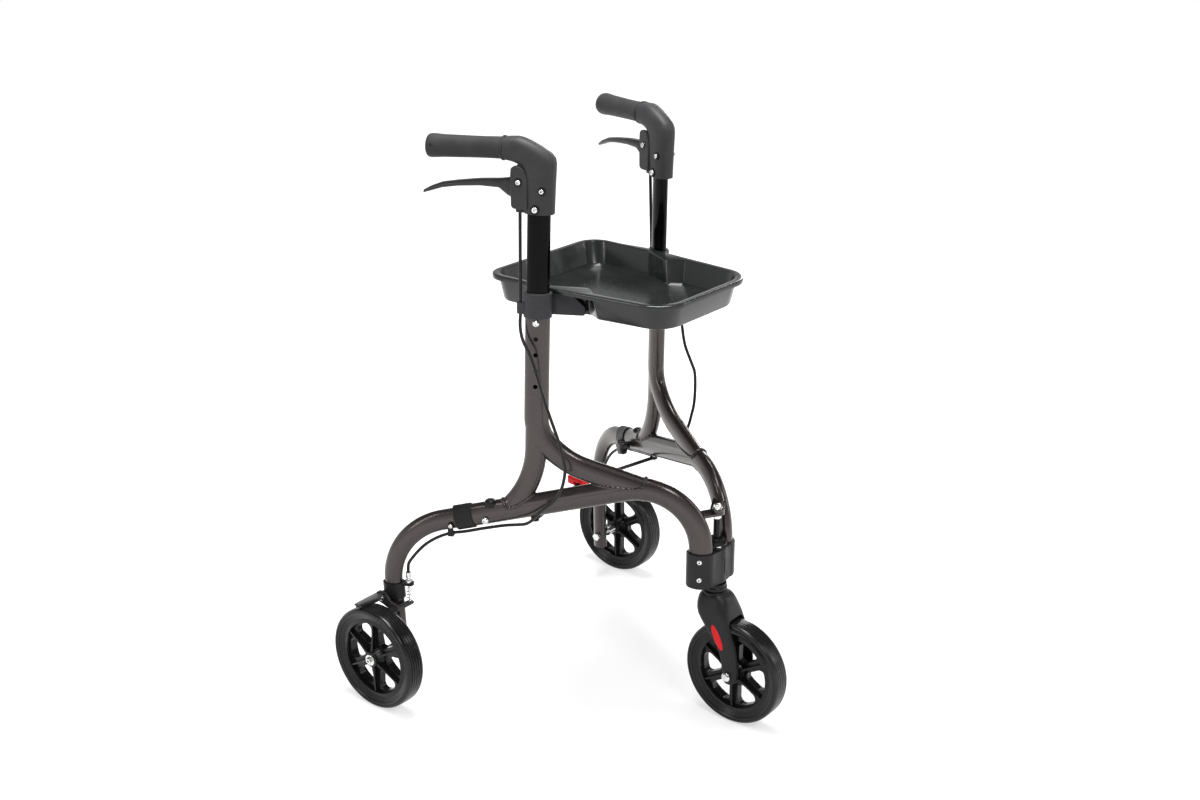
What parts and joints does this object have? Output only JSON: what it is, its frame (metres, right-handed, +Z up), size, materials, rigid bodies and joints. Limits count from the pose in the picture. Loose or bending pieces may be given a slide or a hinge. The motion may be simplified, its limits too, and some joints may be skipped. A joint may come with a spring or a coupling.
{
  "type": "indoor rollator",
  "caption": "Three-wheeled indoor rollator with oval-tube side frames, a hooked-on tray, height-adjustable handles and cable brakes.",
  "frame": {"origin": "middle of the base of the bounding box, on the floor under the tray", "axes": "+Z up; -Y to the front, where the single caster is; +X to the side whose pieces are named left, as seen by a user who walks behind it towards -Y"},
  "size_m": [0.6774, 0.6436, 0.919],
  "materials": {
    "frame_paint": "dark bronze-grey metallic paint",
    "black_tube": "gloss black",
    "clamp_grey": "fine grained",
    "black_plastic": "satin",
    "wheel_black": "satin",
    "tyre_rubber": "matt",
    "grip_rubber": "matt",
    "tray_grey": "satin",
    "zinc": "zinc plated",
    "dark_steel": "black",
    "red_plastic": "gloss",
    "cable_black": "smooth"
  },
  "bodies": {
    "column": {"column_tube": "dark_steel", "hinge_bolt": "zinc"},
    "tray": {"tray": "tray_grey"},
    "caster": {"caster_fork": "black_plastic", "fork_stem": "zinc", "fork_inlay_right": "red_plastic", "fork_inlay_left": "red_plastic", "front_axle": "zinc"},
    "front_wheel": {"front_rim": "wheel_black", "front_tyre": "tyre_rubber"},
    "right_side": {"side_frame_right": "frame_paint", "rear_leg_right": "frame_paint", "leg_sleeve_right": "black_plastic", "leg_bolt_right": "zinc", "front_bracket_right": "black_plastic", "clamp_hook_right": "clamp_grey", "lock_screw_right": "zinc", "fold_brace_right": "dark_steel", "upper_cable_right": "cable_black", "lower_cable_right": "cable_black", "cable_adjuster_right": "zinc", "brake_bracket_right": "black_plastic", "brake_pivot_right": "zinc", "brake_spring_right": "zinc", "rear_axle_right": "zinc", "fold_release": "red_plastic"},
    "right_handle": {"handle_tube_right": "black_tube", "grip_housing_right": "clamp_grey", "grip_right": "grip_rubber", "lever_pivot_right": "zinc"},
    "right_lever": {"brake_lever_right": "black_plastic"},
    "right_brake": {"brake_arm_right": "dark_steel", "brake_shoe_right": "black_plastic"},
    "right_wheel": {"rear_rim_right": "wheel_black", "rear_tyre_right": "tyre_rubber"},
    "left_side": {"side_frame_left": "frame_paint", "rear_leg_left": "frame_paint", "leg_sleeve_left": "black_plastic", "leg_bolt_left": "zinc", "front_bracket_left": "black_plastic", "clamp_hook_left": "clamp_grey", "lock_screw_left": "zinc", "fold_brace_left": "dark_steel", "upper_cable_left": "cable_black", "lower_cable_left": "cable_black", "cable_adjuster_left": "zinc", "brake_bracket_left": "black_plastic", "brake_pivot_left": "zinc", "brake_spring_left": "zinc", "rear_axle_left": "zinc"},
    "left_handle": {"handle_tube_left": "black_tube", "grip_housing_left": "clamp_grey", "grip_left": "grip_rubber", "lever_pivot_left": "zinc"},
    "left_lever": {"brake_lever_left": "black_plastic"},
    "left_brake": {"brake_arm_left": "dark_steel", "brake_shoe_left": "black_plastic"},
    "left_wheel": {"rear_rim_left": "wheel_black", "rear_tyre_left": "tyre_rubber"}
  },
  "joints": [
    {"name": "caster_swivel", "type": "hinge", "parent": "column", "child": "caster", "pos_m": [0, -0.1932, 0.2145], "axis": [0, 0, 1], "continuous": true},
    {"name": "front_wheel_spin", "type": "hinge", "parent": "caster", "child": "front_wheel", "pos_m": [0.00038, -0.2367, 0.085], "axis": [1, 0.0087, 0], "continuous": true},
    {"name": "tray_lift", "type": "slide", "parent": "column", "child": "tray", "axis": [0, 0, 1], "range_m": [0, 0.11]},
    {"name": "fold_right", "type": "hinge", "parent": "column", "child": "right_side", "pos_m": [0, -0.1932, 0.342], "axis": [0, 0, -1], "range_deg": [0, 0.5]},
    {"name": "height_right", "type": "slide", "parent": "right_side", "child": "right_handle", "axis": [0.0125, -0.023, 0.9997], "range_m": [-0.1, 0], "deforming": ["upper_cable_right"]},
    {"name": "lever_right", "type": "hinge", "parent": "right_handle", "child": "right_lever", "pos_m": [-0.15688, 0.05428, 0.8546], "axis": [0.9401, 0.3409, 0], "range_deg": [0, 16], "stiffness_Nm_per_rad": 1.2, "springref_deg": -6.88},
    {"name": "brake_right", "type": "hinge", "parent": "right_side", "child": "right_brake", "pos_m": [-0.2838, 0.2548, 0.171], "axis": [-1, 0, 0], "range_deg": [0, 4.5], "deforming": ["brake_spring_right"]},
    {"name": "wheel_spin_right", "type": "hinge", "parent": "right_side", "child": "right_wheel", "pos_m": [-0.3147, 0.2368, 0.085], "axis": [1, 0, 0], "continuous": true},
    {"name": "fold_left", "type": "hinge", "parent": "column", "child": "left_side", "pos_m": [0, -0.1932, 0.3465], "axis": [0, 0, 1], "range_deg": [0, 0.5]},
    {"name": "height_left", "type": "slide", "parent": "left_side", "child": "left_handle", "axis": [-0.0125, -0.023, 0.9997], "range_m": [-0.1, 0], "deforming": ["upper_cable_left"]},
    {"name": "lever_left", "type": "hinge", "parent": "left_handle", "child": "left_lever", "pos_m": [0.15688, 0.05428, 0.8546], "axis": [0.9401, -0.3409, 0], "range_deg": [0, 16], "stiffness_Nm_per_rad": 1.2, "springref_deg": -6.88},
    {"name": "brake_left", "type": "hinge", "parent": "left_side", "child": "left_brake", "pos_m": [0.2838, 0.2548, 0.171], "axis": [-1, 0, 0], "range_deg": [0, 4.5], "deforming": ["brake_spring_left"]},
    {"name": "wheel_spin_left", "type": "hinge", "parent": "left_side", "child": "left_wheel", "pos_m": [0.3147, 0.2368, 0.085], "axis": [1, 0, 0], "continuous": true}
  ],
  "couplings": [
    {"joint": "brake_right", "follows": "lever_right", "ratio": 0.28125},
    {"joint": "brake_left", "follows": "lever_left", "ratio": 0.28125},
    {"joint": "fold_left", "follows": "fold_right", "ratio": 1}
  ]
}
